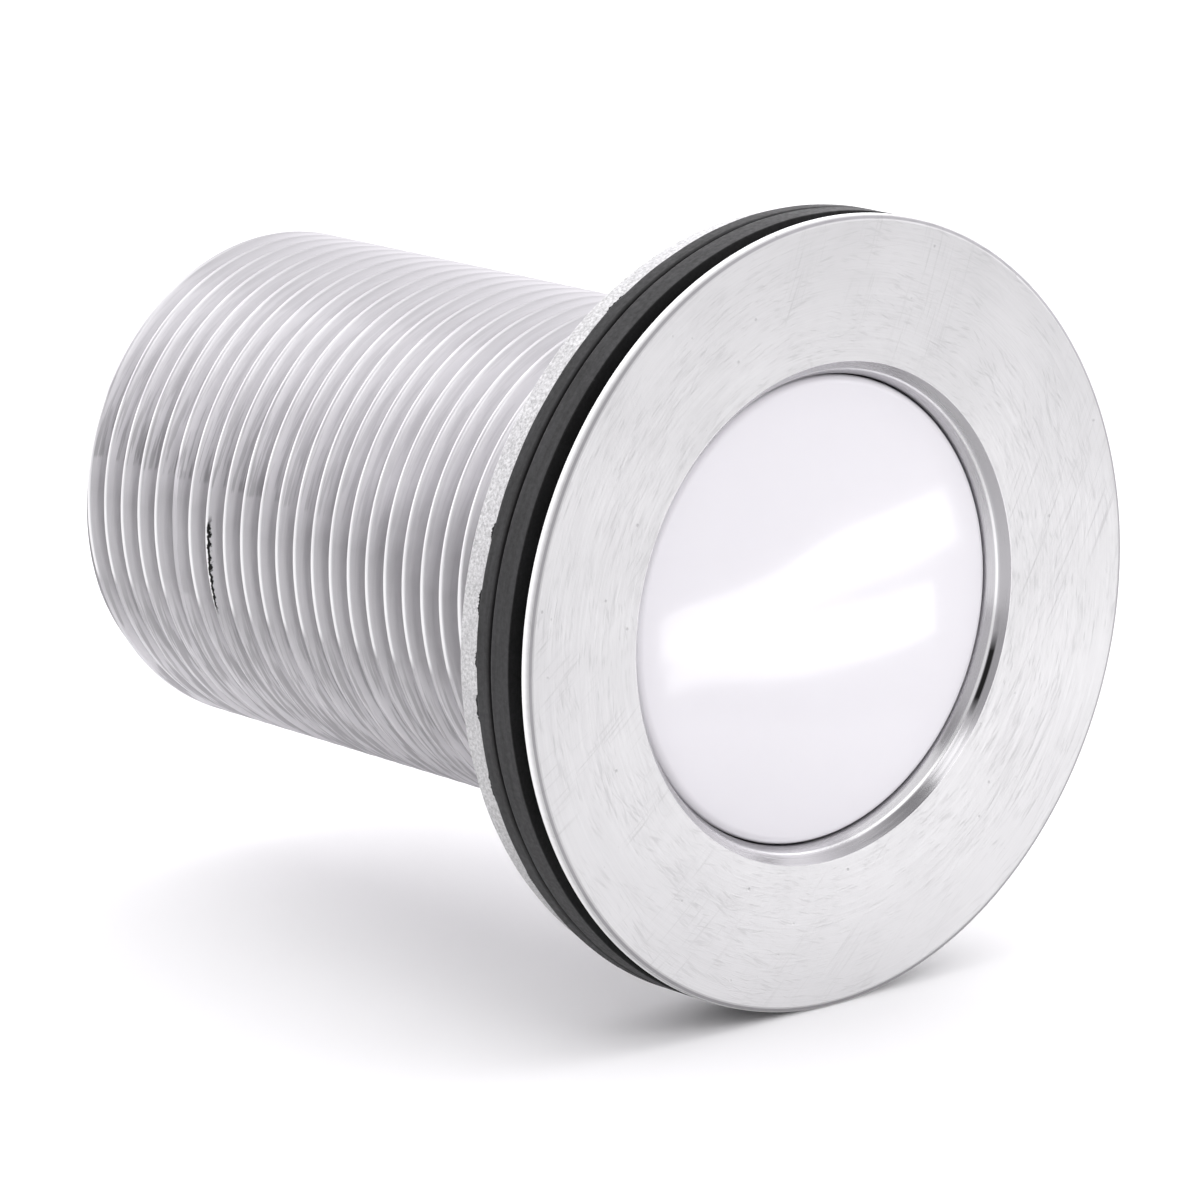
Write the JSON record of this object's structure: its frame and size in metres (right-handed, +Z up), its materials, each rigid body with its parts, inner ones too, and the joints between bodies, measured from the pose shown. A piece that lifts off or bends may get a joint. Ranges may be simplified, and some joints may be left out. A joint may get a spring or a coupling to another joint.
{
  "type": "thru hull fitting",
  "caption": "Flanged through-hull fitting with a threaded tube, rubber gaskets and a white push-to-open plug set in its mouth.",
  "frame": {"origin": "on the fitting's axis, at the backing washer's inboard face, which bears on the outside of the hull", "axes": "+Y along the fitting's axis, inboard, towards the threaded tube's end; -Y outboard, out of the flange; +Z up"},
  "size_m": [0.0636, 0.0712, 0.0636],
  "materials": {
    "turned_metal": "turned and brushed, satin, polished in the mouth",
    "cast_metal": "as cast, grainy",
    "rubber": "moulded, matt",
    "seal_rubber": "moulded, matt",
    "glaze": "white gloss glaze",
    "brass": "turned",
    "steel": "bright",
    "acetal": "moulded, off-white",
    "grey_acetal": "moulded, grey"
  },
  "bodies": {
    "housing": {"hull_body": "turned_metal", "outer_gasket": "rubber", "inner_gasket": "rubber", "backing_washer": "cast_metal", "cam_sleeve": "acetal", "return_spring": "steel", "cartridge_barrel": "brass", "barrel_bush": "acetal", "stem_wiper": "seal_rubber", "bridge": "brass", "bridge_clip": "steel", "hub_washer": "steel", "hub_nut": "brass"},
    "plug": {"plug_cap": "glaze", "plug_carrier": "brass", "plug_seal": "seal_rubber", "seal_clamp": "brass", "stem_locknut": "brass", "plunger": "steel"},
    "rotor": {"cam_rotor": "grey_acetal"}
  },
  "joints": [
    {"name": "plug_slide", "type": "slide", "parent": "housing", "child": "plug", "axis": [0, -1, 0], "range_m": [0, 0.008], "deforming": ["return_spring"]},
    {"name": "rotor_turn", "type": "hinge", "parent": "plug", "child": "rotor", "pos_m": [0, 0.0293, 0], "axis": [0, -1, 0], "range_deg": [-1, 46]}
  ],
  "couplings": [
    {"joint": "rotor_turn", "follows": "plug_slide", "rad_per_m": 98.175}
  ]
}
